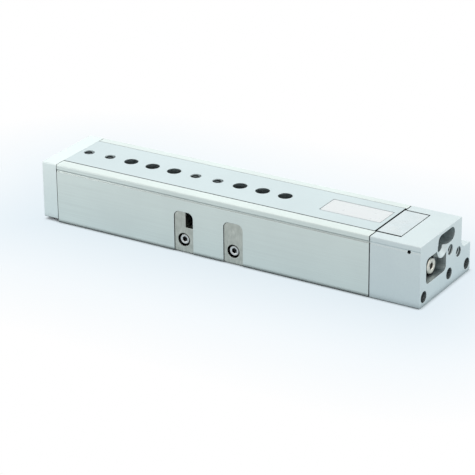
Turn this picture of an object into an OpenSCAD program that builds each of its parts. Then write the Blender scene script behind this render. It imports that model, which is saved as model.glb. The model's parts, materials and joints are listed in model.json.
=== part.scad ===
// Pneumatic slide table: a U-shaped housing carries a T-shaped table on two
// caged ball rows, and a round piston beside the table drives it.
// x runs from the yoke plate to the rear cap, y from the near side to the
// ledge side, z up from the mounting face.

/* [Travel] */
// Working stroke of the table
stroke = 80; // [50:1:80]
// Gap between the yoke plate and the housing when retracted
rest_gap = 0.3; // [0.3:0.1:1.5]
// Gap left between a stop screw and its buffer
stop_gap = 0.1; // [0.05:0.05:0.3]

/* [Housing] */
// Length of the housing profile
housing_len = 173.7; // [172:0.1:200]
// Height over the table's top face
body_h = 30.5; // [30:0.5:33]
// Width of the upper body
top_w = 41.4; // [41:0.2:44]
// Width of the low ledge beside the body
ledge_w = 9.6; // [9:0.2:12]
// Height of the ledge
ledge_h = 14.3; // [14:0.1:15]
// Radius between the body's side and the ledge
ledge_fillet = 4.5; // [3:0.5:6]
// Chamfer along the long outer edges
edge_chamfer = 0.3; // [0.1:0.05:0.5]
// Distance from the top face down to the reference groove on the near side
groove_drop = 3; // [2.5:0.1:4.5]
// Depth of the reference groove
groove_d = 0.35; // [0.2:0.05:0.5]
// Half width of the reference groove
groove_half = 0.65; // [0.5:0.05:0.8]

/* [Channel] */
// Width of the lip beside the table, near side
lip_w = 6.2; // [6:0.1:6.6]
// Clear width between the lips
channel_w = 30.8; // [30.6:0.1:31]
// Depth of the channel
channel_depth = 12; // [11.7:0.1:12.2]
// Distance from the near side to the stop trench
trench_y = 9.4; // [9:0.1:9.6]
// Width of the stop trench
trench_w = 14; // [13.8:0.1:14.4]
// Depth of the stop trench below the channel floor
trench_depth = 9.8; // [9.6:0.05:9.9]

/* [Table] */
// Thickness of the yoke plate
yoke_t = 8.2; // [8:0.1:10]
// Height of the yoke plate's lower edge
yoke_lift = 1.5; // [0.5:0.1:2]
// Side clearance between the table and the near lip
table_gap = 0.6; // [0.4:0.05:0.7]
// Side clearance between the table and the far lip
far_gap = 0.2; // [0.2:0.05:0.4]
// Thickness of the table's top flange
flange_t = 2.9; // [2.6:0.1:3.1]
// Clearance between the table and the channel floor
floor_gap = 0.5; // [0.3:0.1:0.6]
// Gap between the table's rear end and the housing's rear end
table_short = 0.7; // [0.5:0.1:1]
// Distance between neighbouring holes in the table's top row
hole_pitch = 12.5; // [12:0.1:12.5]
// Distance from the table's front end to its first hole
first_hole = 4.8; // [4.6:0.1:5.4]
// Depth of the holes in the top row
hole_depth = 9; // [6:0.5:9]
// Nominal diameter of the M5 threads
thread_d = 5; // [4.2:0.1:5]
// Diameter of the reamed centring holes
centring_d = 7; // [6:0.1:7]

/* [Ball guides] */
// Ball diameter
ball_d = 3; // [2.8:0.1:3.1]
// Number of balls in each cage
ball_count = 16; // [10:1:17]
// Distance between neighbouring balls
ball_pitch = 5; // [4:0.1:5.2]
// Thickness of each rail
rail_t = 2.4; // [2.3:0.05:2.5]
// Height of each rail
rail_h = 6.4; // [6:0.1:6.4]
// Distance from the top face down to the ball rows
guide_drop = 6.5; // [6.3:0.1:6.7]
// Clear gap between the two rails of a pair
rail_gap = 0.8; // [0.7:0.05:1]
// Radial play of a ball in its track
ball_play = 0.04; // [0.02:0.01:0.08]
// Thickness of the cage strip
cage_t = 0.4; // [0.3:0.05:0.45]

/* [Cylinder] */
// Cylinder bore
bore_d = 12; // [11.6:0.1:12.2]
// Distance from the near side to the bore's axis
bore_y = 38.6; // [38.2:0.1:38.8]
// Wall between the bore and the channel floor
bore_roof = 2.5; // [2.3:0.1:2.7]
// Piston rod diameter
rod_d = 6; // [5.5:0.1:6.4]
// Length of the piston
piston_len = 26; // [26:1:30]
// Length of the rear cap's spigot in the bore
spigot_len = 20; // [14:1:22]
// Clearance at each end of the piston's travel
end_gap = 2; // [1.6:0.1:3]
// Radial clearance of a sliding ring or bush
slide_fit = 0.03; // [0.02:0.01:0.06]

/* [Rear cap] */
// Length of the rear cap
cap_len = 26.3; // [25:0.1:30]
// Width of the relief round the cap at the housing
seam_w = 0.6; // [0.4:0.05:0.8]
// Depth of the relief round the cap at the housing
seam_d = 0.5; // [0.3:0.05:0.6]
// Length of the open well in the cap's top
well_len = 13.1; // [12.8:0.1:13.3]
// Width of the open well in the cap's top
well_w = 29.4; // [29:0.1:29.6]
// Depth of the key pocket in the end face
pocket_depth = 5.3; // [5:0.1:5.6]
// Width of the key pocket
pocket_w = 20.1; // [19.5:0.1:20.4]
// Distance from the near side to the key pocket
pocket_y = 5.9; // [5.8:0.1:6.4]
// Height of the key pocket
pocket_h = 12.7; // [12.5:0.1:12.9]
// Distance from the top face down to the key pocket
pocket_drop = 8.2; // [8.1:0.05:8.25]
// Height of the oblong key slot
key_slot_h = 6.8; // [6.4:0.1:6.8]
// Length of the oblong key slot, end to end
key_slot_len = 16.8; // [16.4:0.1:17]

/* [Stops] */
// Diameter of the stop screws
stop_d = 8; // [7.6:0.1:8]
// Distance from the near side to the stop screws' axis
stop_y = 17.4; // [17.2:0.1:17.6]
// Height of the stop screws' axis above the trench floor
stop_rise = 5.5; // [5.4:0.05:5.5]
// Width of the side windows
window_w = 10.7; // [10:0.1:11]
// Distance from the top face down to the side windows
window_drop = 9.5; // [9.1:0.1:10.5]
// Corner radius of the side windows
window_r = 3; // [2:0.1:3.4]
// Distance from the rear window's middle to the cap's end face, beyond the stroke
window_x = 18.85; // [18.4:0.05:19.2]
// Distance between the two windows
window_pitch = 27.65; // [26:0.05:27.65]
// Free length of each rubber buffer
buffer_lip = 1.5; // [1:0.1:1.6]
// Buffer diameter
buffer_d = 5; // [4:0.1:5.4]

/* [Screws] */
// Nominal diameter of the M3 screws
m3_d = 3; // [2.5:0.1:3]
// Head diameter of the M3 screws
m3_head_d = 5.5; // [5:0.1:5.5]
// Diameter of the counterbores over the cap screws
m3_bore_d = 5.7; // [5.6:0.1:5.8]
// Nominal diameter of the M4 screws
m4_d = 4; // [3.5:0.1:4]
// Head diameter of the M4 screws
m4_head_d = 7; // [6.4:0.1:7]
// Radial clearance of a screw in its hole
screw_fit = 0.05; // [0.03:0.01:0.1]

/* [Label] */
// Length of the blank label
label_len = 31.7; // [20:0.1:34]
// Width of the blank label
label_w = 13.7; // [8:0.1:16]

/* [Hidden] */
$fn = 64;
cut = 1;                 // how far a cut runs past the face it opens
seat = 0.02;             // play of a ring in its groove

// main faces along x
housing_x = yoke_t + rest_gap;
cap_x = housing_x + housing_len;
total_l = cap_x + cap_len;
base_w = top_w + ledge_w;
table_x = yoke_t;
table_end = cap_x - table_short;
mid_x = housing_x + housing_len / 2;

// heights, taken down from the table's top face
groove_z = body_h - groove_drop;
groove_arc = (groove_half * groove_half + groove_d * groove_d) / (2 * groove_d);
channel_floor = body_h - channel_depth;
trench_floor = channel_floor - trench_depth;
guide_z = body_h - guide_drop;
window_top = body_h - window_drop;
pocket_top = body_h - pocket_drop;
pocket_floor = pocket_top - pocket_h;
stop_z = trench_floor + stop_rise;

// channel and table across y
table_mid = lip_w + channel_w / 2;
table_y = lip_w + table_gap;
table_w = channel_w - table_gap - far_gap;
hole_y = table_y + table_w / 2;
table_bottom = channel_floor + floor_gap;
flange_z = body_h - flange_t;
trench_end = trench_y + trench_w;

// ball guides: each row lies guide_half from the table's middle
guide_half = channel_w / 2 - rail_t - rail_gap / 2;
rail_offset = (rail_gap + rail_t) / 2;
web_half = guide_half - rail_gap / 2 - rail_t;
track_r = ball_d / 2 + ball_play;
rail_end_gap = 1.5;
rail_x = housing_x + rail_end_gap;
rail_len = housing_len - 2 * rail_end_gap;
table_rail_x = table_x + 2;
table_rail_len = table_end - table_rail_x - 2;
cage_end = 2;
cage_len = (ball_count - 1) * ball_pitch + ball_d + 2 * cage_end;
cage_margin = 2;
cage_x = rail_x + stroke / 2 + cage_margin;
cage_h = rail_h - 0.4;
cage_fit = 0.05;

// threads and counterbores
thread_r = thread_d / 2;
thread_mouth_r = 2.65;
m3_r = m3_d / 2;
m4_r = m4_d / 2;
m3_head_h = 3;
m4_head_h = 4;
m3_key = 2.5;
m4_key = 3;
key_depth = 1.6;
head_play = 0.1;

// top row of holes: T is an M5 thread, C a centring hole
hole_kinds = ["T", "T", "C", "C", "C", "T", "T", "C", "C", "C"];

// cylinder
bore_r = bore_d / 2;
bore_z = channel_floor - bore_roof - bore_r;
rod_r = rod_d / 2;
spigot_x = cap_x - spigot_len;
spigot_r = bore_r - 0.05;
piston_x = spigot_x - end_gap - piston_len;
piston_r = bore_r - 0.15;
ring_r = bore_r - slide_fit;
clip_t = 1;
clip_inset = 1;
clip_depth = 0.3;
bearing_x = housing_x + clip_inset + clip_t;
bearing_end = piston_x - stroke - end_gap;
bearing_len = bearing_end - bearing_x;
bearing_r = bore_r - 0.03;
rod_clear_r = rod_r + 0.3;
rod_ring_r = rod_r + slide_fit;
wiper_r = rod_r + 1.6;
wiper_len = 2.5;
seal_r = rod_r + 1.7;
seal_wall = 4;
seal_at = wiper_len + seal_wall;
seal_len = 3;
bush_r = rod_r + 1;
bush_len = 14;
oring_d = 1.5;
spigot_oring_inset = 6;
spigot_oring_x = cap_x - spigot_oring_inset;
bearing_oring_inset = 21;
bearing_oring_x = bearing_x + bearing_oring_inset;

// piston grooves, from the piston's front face
groove_r = piston_r - 1.4;
seal_w = 2.2;
front_seal_at = 2;
guide_at = 6.5;
guide_w = 4;
magnet_w = 5;
magnet_r = piston_r - 0.05;
magnet_bore_r = 4;
rear_seal_inset = 6.5;
rear_seal_at = piston_len - rear_seal_inset;
magnet_at = (guide_at + guide_w + rear_seal_at - magnet_w) / 2;
stem_r = 2;
nut_af = 7;
nut_len = 3.2;
nut_recess_r = nut_af / 2 / cos(30) + 0.15;

// air duct beside the bore and the ports in the end face
port_y = 30.2;
port_z = channel_floor - 0.4;
port_depth = 6.5;
duct_y = port_y - 0.6;
duct_z = port_z - 2.7;
duct_r = 1.1;
rear_port_z = bore_z + 3.9;
rear_duct_z = bore_z + 2.9;
rear_duct_r = 1.3;
cross_x = bearing_end + end_gap / 2;
cross_r = 0.9;
cross_z = duct_z - 0.4;
duct_start = cross_x - 1.5;
duct_end = total_l - 4;
plug_ball_r = 1.25;
plug_ball_depth = 1.8;

// rear cap: well for the stop arm, key pocket, key slot and cap screws
well_end = cap_x + well_len;
pocket_x = total_l - pocket_depth;
pocket_r = 2.6;
key_slot_y = 17.5;
key_slot_z = body_h - 4.9;
key_slot_r = key_slot_h / 2;
ring_y = 22;
ring_z = body_h - 7.6;
ring_hole_r = 3.2;
ring_outer_r = 5.5;
ring_t = 3.6;
ring_chamfer = 1.8;
cap_screw_at = [[3.95, 4.6], [29.4, 6.35], [base_w - 3.35, 4.4]];
cap_screw_inset = 16;
cap_screw_grip = 9;
cap_pin_at = [8.5, trench_floor - 4.1];
cap_pin_r = 1.25;
cap_pin_half = 5;
side_hole_x = total_l - 5.9;
side_hole_z = body_h - 3.5;
side_hole_r = 0.85;
side_hole_depth = 4;

// sensor slot along the ledge
sensor_z = ledge_h - 4.7;
sensor_r = 2.1;
sensor_inset = 2.6;
sensor_mouth = 2.8;

// base threads
base_row_y = [4.7, 28];
base_spans = [140, 70];
base_depth = 8;

// stop blocks
rear_window_x = total_l - stroke - window_x;
window_at = [rear_window_x - window_pitch, rear_window_x];
block_play = 0.2;
block_w = window_w - 2 * block_play;
block_recess = 0.35;
block_tongue = lip_w - 0.4;
block_front_x = window_at[0] - block_w / 2;
block_rear_x = window_at[1] + block_w / 2;
block_screw_z = trench_floor - 2.1;
block_screw_bore = 3.4;
block_cbore_depth = 3.6;
block_screw_len = 13;
block_seat_y = block_recess + block_cbore_depth;
block_top = channel_floor - 0.4;
notch_w = 4.2;
notch_z = stop_z - 1.1;
buffer_seat = 4;
front_buffer_tip = block_front_x - buffer_lip;
rear_buffer_tip = block_rear_x + buffer_lip;

// stop screws and the arm that carries the rear one
stop_r = stop_d / 2;
stop_fit = 0.05;
stop_key = 3;
stop_key_depth = 4;
front_screw_x = 1;
front_screw_len = front_buffer_tip - stop_gap - front_screw_x;
rear_screw_x = rear_buffer_tip + stroke + stop_gap;
rear_screw_end = total_l - 3;
plate_gap = 1.1;
plate_far_gap = 0.9;
arm_relief = 0.9;
arm_relief_h = 3;
arm_end = well_end - 0.4;
lug_end = pocket_x - 1.7;
lug_x = rear_screw_x + 0.6;
lug_y = trench_y + 0.4;
lug_w = trench_w - 0.8;
lug_bottom = trench_floor + 0.4;
lug_top = pocket_top - 0.3;
arm_screw_at = [20.9, 27.3];
arm_screw_len = 18;
arm_screw_inset = 0.5;
arm_screw_tip = arm_end - arm_screw_inset - m3_head_h - arm_screw_len;
lock_r = 1.5;
lock_gap = 0.08;

// yoke plate
yoke_top_row = body_h - 4;
yoke_low_row = yoke_lift + 4;
yoke_low_cols = [8, 32];
yoke_top_cols = [8, 34.4];
yoke_thread_depth = 7;
yoke_centring_depth = 1.6;
yoke_screw_dy = 5.2;
yoke_screw_z = body_h - 5.7;
yoke_screw_len = 14;
yoke_pin_dy = 7.2;
yoke_pin_z = body_h - 9.1;
yoke_pin_r = 1.25;
yoke_pin_half = 3.5;
rod_screw_len = 12;

// label, near the rear end of the table
label_t = 0.08;
label_recess = 0.1;
label_border = 0.3;
label_x = table_end - 2.3 - label_len;
label_y = 16;

module in_frame() translate([-total_l / 2, -base_w / 2, 0]) children();

module along_x(x, len) translate([x, 0, 0]) rotate([90, 0, 90]) linear_extrude(len) children();

module rod_x(x, len, y, z, r) translate([x, y, z]) rotate([0, 90, 0]) cylinder(h = len, r = r);

module rod_y(y, len, x, z, r) translate([x, y, z]) rotate([-90, 0, 0]) cylinder(h = len, r = r);

module ring_x(x, len, y, z, outer, inner) difference() {
  rod_x(x, len, y, z, outer);
  rod_x(x - cut, len + 2 * cut, y, z, inner);
}

// a box with its low corner and its size, its long edges rounded by r
module soft_box_x(low, size, r) {
  translate([low[0], low[1] + r, low[2]]) cube([size[0], size[1] - 2 * r, size[2]]);
  translate([low[0], low[1], low[2] + r]) cube([size[0], size[1], size[2] - 2 * r]);
  for (y = [low[1] + r, low[1] + size[1] - r], z = [low[2] + r, low[2] + size[2] - r])
    rod_x(low[0], size[0], y, z, r);
}

// an arch with two round top corners, extruded along y
module arch(x, y, depth, w, bottom, top, r) {
  translate([x - w / 2, y, bottom]) cube([w, depth, top - r - bottom]);
  translate([x - w / 2 + r, y, bottom]) cube([w - 2 * r, depth, top - bottom]);
  for (side = [-1, 1]) rod_y(y, depth, x + side * (w / 2 - r), top - r, r);
}

module oring(x, y, z, centre_r)
  translate([x, y, z]) rotate([0, 90, 0])
    rotate_extrude() translate([centre_r, 0]) circle(d = oring_d, $fn = 32);

// socket head screw along +x, its head's outer face at the origin
module socket_screw(d, head_d, head_h, len, key) difference() {
  union() {
    rotate([0, 90, 0]) cylinder(h = head_h, d = head_d);
    rotate([0, 90, 0]) cylinder(h = head_h + len, d = d);
  }
  translate([-cut, 0, 0]) rotate([0, 90, 0])
    cylinder(h = cut + key_depth, r = key / 2 / cos(30), $fn = 6);
}

// stop screw along x with a hex socket in the end at key_x
module stop_screw(x, len, key_x) difference() {
  rod_x(x, len, stop_y, stop_z, stop_r);
  translate([key_x, stop_y, stop_z]) rotate([0, 90, 0])
    cylinder(h = 2 * stop_key_depth, r = stop_key / 2 / cos(30), $fn = 6, center = true);
}

// outline of the housing in y and z, from a lower edge at z0
function outline(z0) = [
  [edge_chamfer, z0], [0, z0 + edge_chamfer],
  [0, body_h - edge_chamfer], [edge_chamfer, body_h],
  [top_w - edge_chamfer, body_h], [top_w, body_h - edge_chamfer],
  [top_w, ledge_h + ledge_fillet], [top_w + ledge_fillet, ledge_h],
  [base_w - edge_chamfer, ledge_h], [base_w, ledge_h - edge_chamfer],
  [base_w, z0 + 0.7], [base_w - 2, z0]];

module body_block(x, len, z0) difference() {
  along_x(x, len) polygon(outline(z0));
  rod_x(x - cut, len + 2 * cut, top_w + ledge_fillet, ledge_h + ledge_fillet, ledge_fillet);
}

module groove_cut(x, len)
  rod_x(x - cut, len + 2 * cut, groove_d - groove_arc, groove_z, groove_arc);

module track_cut(side)
  rod_x(-cut, total_l + 2 * cut, table_mid + side * guide_half, guide_z, track_r);

module duct_cut() rod_x(duct_start, duct_end - duct_start, duct_y, duct_z, duct_r);

module sensor_slot_cut() {
  rod_x(housing_x - cut, housing_len + 2 * cut, base_w - sensor_inset, sensor_z, sensor_r);
  translate([housing_x - cut, base_w - sensor_inset, sensor_z - sensor_mouth / 2])
    cube([housing_len + 2 * cut, sensor_inset + cut, sensor_mouth]);
}

module housing() color("#bcc8c8") in_frame() difference() {
  body_block(housing_x, housing_len, 0);
  groove_cut(housing_x, housing_len);
  translate([housing_x - cut, lip_w, channel_floor])
    cube([housing_len + 2 * cut, channel_w, body_h]);
  translate([housing_x - cut, trench_y, trench_floor])
    cube([housing_len + 2 * cut, trench_w, body_h]);
  rod_x(housing_x - cut, housing_len + 2 * cut, bore_y, bore_z, bore_r);
  rod_x(housing_x + clip_inset, clip_t, bore_y, bore_z, bore_r + clip_depth);
  for (x = window_at) {
    arch(x, -cut, trench_y + 2 * cut, window_w, -cut, window_top, window_r);
    rod_y(trench_y - cut, block_seat_y + block_screw_len + 0.5 - trench_y + cut,
      x, block_screw_z, m3_r + screw_fit);
  }
  sensor_slot_cut();
  for (span = base_spans, side = [-1, 1], y = base_row_y)
    translate([mid_x + side * span / 2, y, -cut]) cylinder(h = base_depth + cut, r = thread_r);
  for (at = cap_screw_at)
    rod_x(cap_x - cap_screw_grip - cut, cap_screw_grip + 2 * cut, at[0], at[1], m3_r + screw_fit);
  rod_x(cap_x - cap_pin_half, cap_pin_half + cut, cap_pin_at[0], cap_pin_at[1],
    cap_pin_r + seat);
  duct_cut();
  rod_y(trench_end - cut, bore_y - trench_end - 2, cross_x, cross_z, cross_r);
  rod_y(trench_end - cut, 3 + cut, cross_x, cross_z, plug_ball_r + seat);
}

module key_slot_cut() {
  for (y = [key_slot_y + key_slot_r, key_slot_y + key_slot_len - key_slot_r])
    rod_x(well_end - cut, total_l - well_end + 2 * cut, y, key_slot_z, key_slot_r);
  translate([well_end - cut, key_slot_y + key_slot_r, key_slot_z - key_slot_r])
    cube([total_l - well_end + 2 * cut, key_slot_len - 2 * key_slot_r, key_slot_h]);
}

module key_ring_cut() {
  rod_x(total_l - ring_t - cut, ring_t + 2 * cut, ring_y, ring_z, ring_hole_r);
  translate([total_l - ring_chamfer, ring_y, ring_z]) rotate([0, 90, 0])
    cylinder(h = ring_chamfer + 0.01, r1 = ring_hole_r, r2 = ring_outer_r - 0.5);
}

// shallow relief round the cap's outline where it meets the housing
module seam_cut() {
  over = seam_d + cut;
  for (y = [-cut, base_w - seam_d]) translate([cap_x - cut, y, -cut])
    cube([seam_w + cut, over, y < 0 ? body_h + 2 * cut : ledge_h + 2 * cut]);
  translate([cap_x - cut, -cut, body_h - seam_d]) cube([seam_w + cut, top_w + 2 * cut, over]);
  translate([cap_x - cut, top_w - seam_d, ledge_h + ledge_fillet])
    cube([seam_w + cut, over, body_h]);
  translate([cap_x - cut, top_w + ledge_fillet, ledge_h - seam_d])
    cube([seam_w + cut, ledge_w, over]);
  rod_x(cap_x - cut, seam_w + cut, top_w + ledge_fillet, ledge_h + ledge_fillet,
    ledge_fillet + seam_d);
}

module rear_cap() color("#c3d0d8") in_frame() difference() {
  union() {
    difference() {
      body_block(cap_x, cap_len, 0);
      groove_cut(cap_x, cap_len);
      seam_cut();
      soft_box_x([pocket_x, pocket_y, pocket_floor],
        [pocket_depth + cut, pocket_w, pocket_top - pocket_floor], pocket_r);
    }
    rod_x(total_l - ring_t, ring_t, ring_y, ring_z, ring_outer_r);
    rod_x(spigot_x, spigot_len + cut, bore_y, bore_z, spigot_r);
  }
  translate([cap_x - cut, lip_w, channel_floor]) cube([well_len + cut, well_w, body_h]);
  translate([cap_x - cut, trench_y, trench_floor])
    cube([pocket_x + 0.5 - cap_x + cut, trench_w, pocket_top - trench_floor]);
  key_slot_cut();
  key_ring_cut();
  ring_x(spigot_oring_x - oring_d / 2 - seat, oring_d + 2 * seat, bore_y, bore_z,
    bore_r + cut, bore_r - oring_d - 2 * seat);
  for (at = cap_screw_at) {
    rod_x(total_l - cap_screw_inset, cap_screw_inset + cut, at[0], at[1], m3_bore_d / 2);
    rod_x(cap_x - cut, cap_len, at[0], at[1], m3_r + screw_fit);
  }
  rod_x(cap_x - cut, cap_pin_half + cut, cap_pin_at[0], cap_pin_at[1], cap_pin_r + seat);
  rod_x(total_l - port_depth, port_depth + cut, port_y, port_z, thread_r);
  translate([total_l - 0.5, port_y, port_z]) rotate([0, 90, 0])
    cylinder(h = 0.51, r1 = thread_r, r2 = thread_mouth_r);
  duct_cut();
  rod_x(cap_x - cut, 1 + cut, duct_y, duct_z, duct_r + oring_d);
  rod_x(total_l - port_depth, port_depth + cut, bore_y, rear_port_z, thread_r);
  rod_x(spigot_x - cut, duct_end - spigot_x + cut, bore_y, rear_duct_z, rear_duct_r);
  rod_y(-cut, side_hole_depth + cut, side_hole_x, side_hole_z, side_hole_r);
}

module cap_screws() color("#6f7478") in_frame()
  for (at = cap_screw_at)
    translate([total_l - cap_screw_inset + m3_head_h, at[0], at[1]]) rotate([0, 0, 180])
      socket_screw(m3_d, m3_head_d, m3_head_h,
        cap_len - cap_screw_inset + cap_screw_grip - 0.5, m3_key);

module cap_pin() color("#8a8f93") in_frame()
  rod_x(cap_x - cap_pin_half + 0.1, 2 * cap_pin_half - 0.2, cap_pin_at[0], cap_pin_at[1],
    cap_pin_r);

module spigot_oring() color("#1c1d1f") in_frame()
  oring(spigot_oring_x, bore_y, bore_z, bore_r - oring_d / 2 - seat);

module duct_oring() color("#1c1d1f") in_frame()
  ring_x(cap_x + seat, 1 - 2 * seat, duct_y, duct_z, duct_r + oring_d - seat, duct_r + 0.3);

module duct_ball() color("#a9adb0") in_frame()
  translate([cross_x, trench_end + plug_ball_depth, cross_z]) sphere(r = plug_ball_r);

// a rail beside the ball row on one side; place is 1 outside it, -1 inside
module rail(side, place, x, len) difference() {
  translate([x, table_mid + side * (guide_half + place * rail_offset) - rail_t / 2,
    guide_z - rail_h / 2]) cube([len, rail_t, rail_h]);
  track_cut(side);
}

module outer_rail_near() color("#8d9296") in_frame() rail(-1, 1, rail_x, rail_len);

module outer_rail_far() color("#8d9296") in_frame() rail(1, 1, rail_x, rail_len);

module inner_rail_near() color("#8d9296") in_frame() rail(-1, -1, table_rail_x, table_rail_len);

module inner_rail_far() color("#8d9296") in_frame() rail(1, -1, table_rail_x, table_rail_len);

module cage(side) difference() {
  translate([cage_x, table_mid + side * guide_half - cage_t / 2, guide_z - cage_h / 2])
    cube([cage_len, cage_t, cage_h]);
  for (i = [0:ball_count - 1])
    rod_y(table_mid + side * guide_half - cage_t, 2 * cage_t,
      cage_x + cage_end + ball_d / 2 + i * ball_pitch, guide_z, ball_d / 2 + cage_fit);
}

module ball_row(side)
  for (i = [0:ball_count - 1])
    translate([cage_x + cage_end + ball_d / 2 + i * ball_pitch,
      table_mid + side * guide_half, guide_z]) sphere(d = ball_d);

module cage_near() color("#b98f4a") in_frame() cage(-1);

module cage_far() color("#b98f4a") in_frame() cage(1);

module balls_near() color("#c9ccce") in_frame() ball_row(-1);

module balls_far() color("#c9ccce") in_frame() ball_row(1);

module bearing_cap() color("#a7adb1") in_frame() difference() {
  rod_x(bearing_x, bearing_len, bore_y, bore_z, bearing_r);
  rod_x(bearing_x - cut, bearing_len + 2 * cut, bore_y, bore_z, rod_clear_r);
  rod_x(bearing_x - cut, wiper_len + cut, bore_y, bore_z, wiper_r + seat);
  rod_x(bearing_x + seal_at - seat, seal_len + 2 * seat, bore_y, bore_z, seal_r + seat);
  rod_x(bearing_end - bush_len, bush_len + cut, bore_y, bore_z, bush_r + seat);
  ring_x(bearing_oring_x - oring_d / 2 - seat, oring_d + 2 * seat, bore_y, bore_z,
    bore_r + cut, bore_r - oring_d - 2 * seat);
}

module bearing_circlip() color("#54595d") in_frame() difference() {
  ring_x(housing_x + clip_inset + seat, clip_t - 2 * seat, bore_y, bore_z,
    bore_r + clip_depth - seat, bore_r - 1);
  translate([housing_x, bore_y - 1.2, bore_z]) cube([3, 2.4, bore_d]);
}

module rod_bushing() color("#a8834c") in_frame()
  ring_x(bearing_end - bush_len + seat, bush_len - 2 * seat, bore_y, bore_z, bush_r, rod_ring_r);

module rod_seal() color("#1c1d1f") in_frame()
  ring_x(bearing_x + seal_at, seal_len, bore_y, bore_z, seal_r, rod_ring_r);

module rod_wiper() color("#1c1d1f") in_frame()
  ring_x(bearing_x + seat, wiper_len - 2 * seat, bore_y, bore_z, wiper_r, rod_ring_r);

module bearing_oring() color("#1c1d1f") in_frame()
  oring(bearing_oring_x, bore_y, bore_z, bore_r - oring_d / 2 - seat);

// clamp block that closes a side window and stands in the trench
module stop_block(x) difference() {
  union() {
    arch(x, block_recess, block_tongue - block_recess, block_w, block_recess,
      window_top - block_play, window_r - block_play);
    translate([x - block_w / 2, block_recess, block_recess])
      cube([block_w, trench_y - block_play - block_recess, block_top - block_recess]);
    translate([x - block_w / 2, trench_y - block_play - cut, trench_floor])
      cube([block_w, trench_w + cut, block_top - trench_floor]);
  }
  rod_y(0, block_seat_y, x, block_screw_z, block_screw_bore);
  rod_y(0, trench_y, x, block_screw_z, m3_r + screw_fit);
}

module front_stop_block() color("#a3a8a3") in_frame() difference() {
  stop_block(window_at[0]);
  translate([window_at[0] + block_w / 2 - notch_w, 0, notch_z])
    cube([notch_w + cut, trench_end + cut, window_top]);
  rod_x(block_front_x - cut, buffer_seat + cut, stop_y, stop_z, buffer_d / 2 + seat);
}

module rear_stop_block() color("#a3a8a3") in_frame() difference() {
  stop_block(window_at[1]);
  rod_x(block_rear_x - buffer_seat, buffer_seat + cut, stop_y, stop_z, buffer_d / 2 + seat);
}

module stop_block_screws() color("#6f7478") in_frame()
  for (x = window_at)
    translate([x, block_seat_y - m3_head_h, block_screw_z]) rotate([0, 0, 90])
      socket_screw(m3_d, m3_head_d, m3_head_h, block_screw_len, m3_key);

module front_buffer() color("#2b2c2e") in_frame()
  rod_x(front_buffer_tip, buffer_lip + buffer_seat, stop_y, stop_z, buffer_d / 2);

module rear_buffer() color("#2b2c2e") in_frame()
  rod_x(block_rear_x - buffer_seat, buffer_lip + buffer_seat, stop_y, stop_z, buffer_d / 2);

// T section shared by the table and the stop arm behind it, each with its own flange
module table_bar(x, len, flange_y, flange_w) {
  translate([x, flange_y, flange_z]) cube([len, flange_w, flange_t]);
  translate([x, table_mid - web_half, table_bottom])
    cube([len, 2 * web_half, body_h - table_bottom]);
}

module top_hole(i) {
  x = table_x + first_hole + i * hole_pitch;
  if (hole_kinds[i] == "T") {
    translate([x, hole_y, body_h - hole_depth]) cylinder(h = hole_depth + cut, r = thread_r);
    translate([x, hole_y, body_h - 0.5])
      cylinder(h = 0.51, r1 = thread_r, r2 = thread_mouth_r);
  }
  if (hole_kinds[i] == "C")
    translate([x, hole_y, body_h - hole_depth])
      cylinder(h = hole_depth + cut, r = centring_d / 2);
}

module slide_table() color("#c9d4d6") in_frame() difference() {
  table_bar(table_x, table_end - table_x, table_y, table_w);
  for (i = [0:len(hole_kinds) - 1]) top_hole(i);
  for (side = [-1, 1]) {
    rod_x(table_x - cut, yoke_screw_len - yoke_t + m4_head_h + 0.5 + cut,
      table_mid + side * yoke_screw_dy, yoke_screw_z, m4_r + screw_fit);
    rod_x(table_x - cut, yoke_pin_half + cut, table_mid + side * yoke_pin_dy, yoke_pin_z,
      yoke_pin_r + seat);
  }
  for (y = arm_screw_at)
    rod_x(arm_screw_tip - 0.5, table_end - arm_screw_tip + 0.5 + cut, y, key_slot_z,
      m3_r + screw_fit);
  translate([label_x - label_border, label_y - label_border, body_h - label_recess])
    cube([label_len + 2 * label_border, label_w + 2 * label_border, cut]);
}

module yoke_plate() color("#d0dbdc") in_frame() difference() {
  body_block(0, yoke_t, yoke_lift);
  for (side = [-1, 1]) {
    rod_x(-cut, m4_head_h + cut, table_mid + side * yoke_screw_dy, yoke_screw_z,
      m4_head_d / 2 + head_play);
    rod_x(-cut, yoke_t + 2 * cut, table_mid + side * yoke_screw_dy, yoke_screw_z,
      m4_r + screw_fit);
    rod_x(yoke_t - yoke_pin_half, yoke_pin_half + cut, table_mid + side * yoke_pin_dy,
      yoke_pin_z, yoke_pin_r + seat);
  }
  rod_x(-cut, m4_head_h + cut, bore_y, bore_z, m4_head_d / 2 + head_play);
  rod_x(-cut, yoke_t + 2 * cut, bore_y, bore_z, m4_r + screw_fit);
  rod_x(-cut, yoke_t + 2 * cut, stop_y, stop_z, stop_r + stop_fit);
  translate([yoke_t / 2, stop_y, 0]) cylinder(h = stop_z, r = lock_r + screw_fit);
  for (y = yoke_low_cols) rod_x(-cut, yoke_thread_depth + cut, y, yoke_low_row, thread_r);
  for (y = yoke_top_cols) {
    rod_x(-cut, yoke_thread_depth + cut, y, yoke_top_row, thread_r);
    rod_x(-cut, yoke_centring_depth + cut, y, yoke_top_row, centring_d / 2);
  }
}

module yoke_screws() color("#6f7478") in_frame()
  for (side = [-1, 1])
    translate([0, table_mid + side * yoke_screw_dy, yoke_screw_z])
      socket_screw(m4_d, m4_head_d, m4_head_h, yoke_screw_len, m4_key);

module yoke_pins() color("#8a8f93") in_frame()
  for (side = [-1, 1])
    rod_x(yoke_t - yoke_pin_half + 0.1, 2 * yoke_pin_half - 0.2,
      table_mid + side * yoke_pin_dy, yoke_pin_z, yoke_pin_r);

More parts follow.
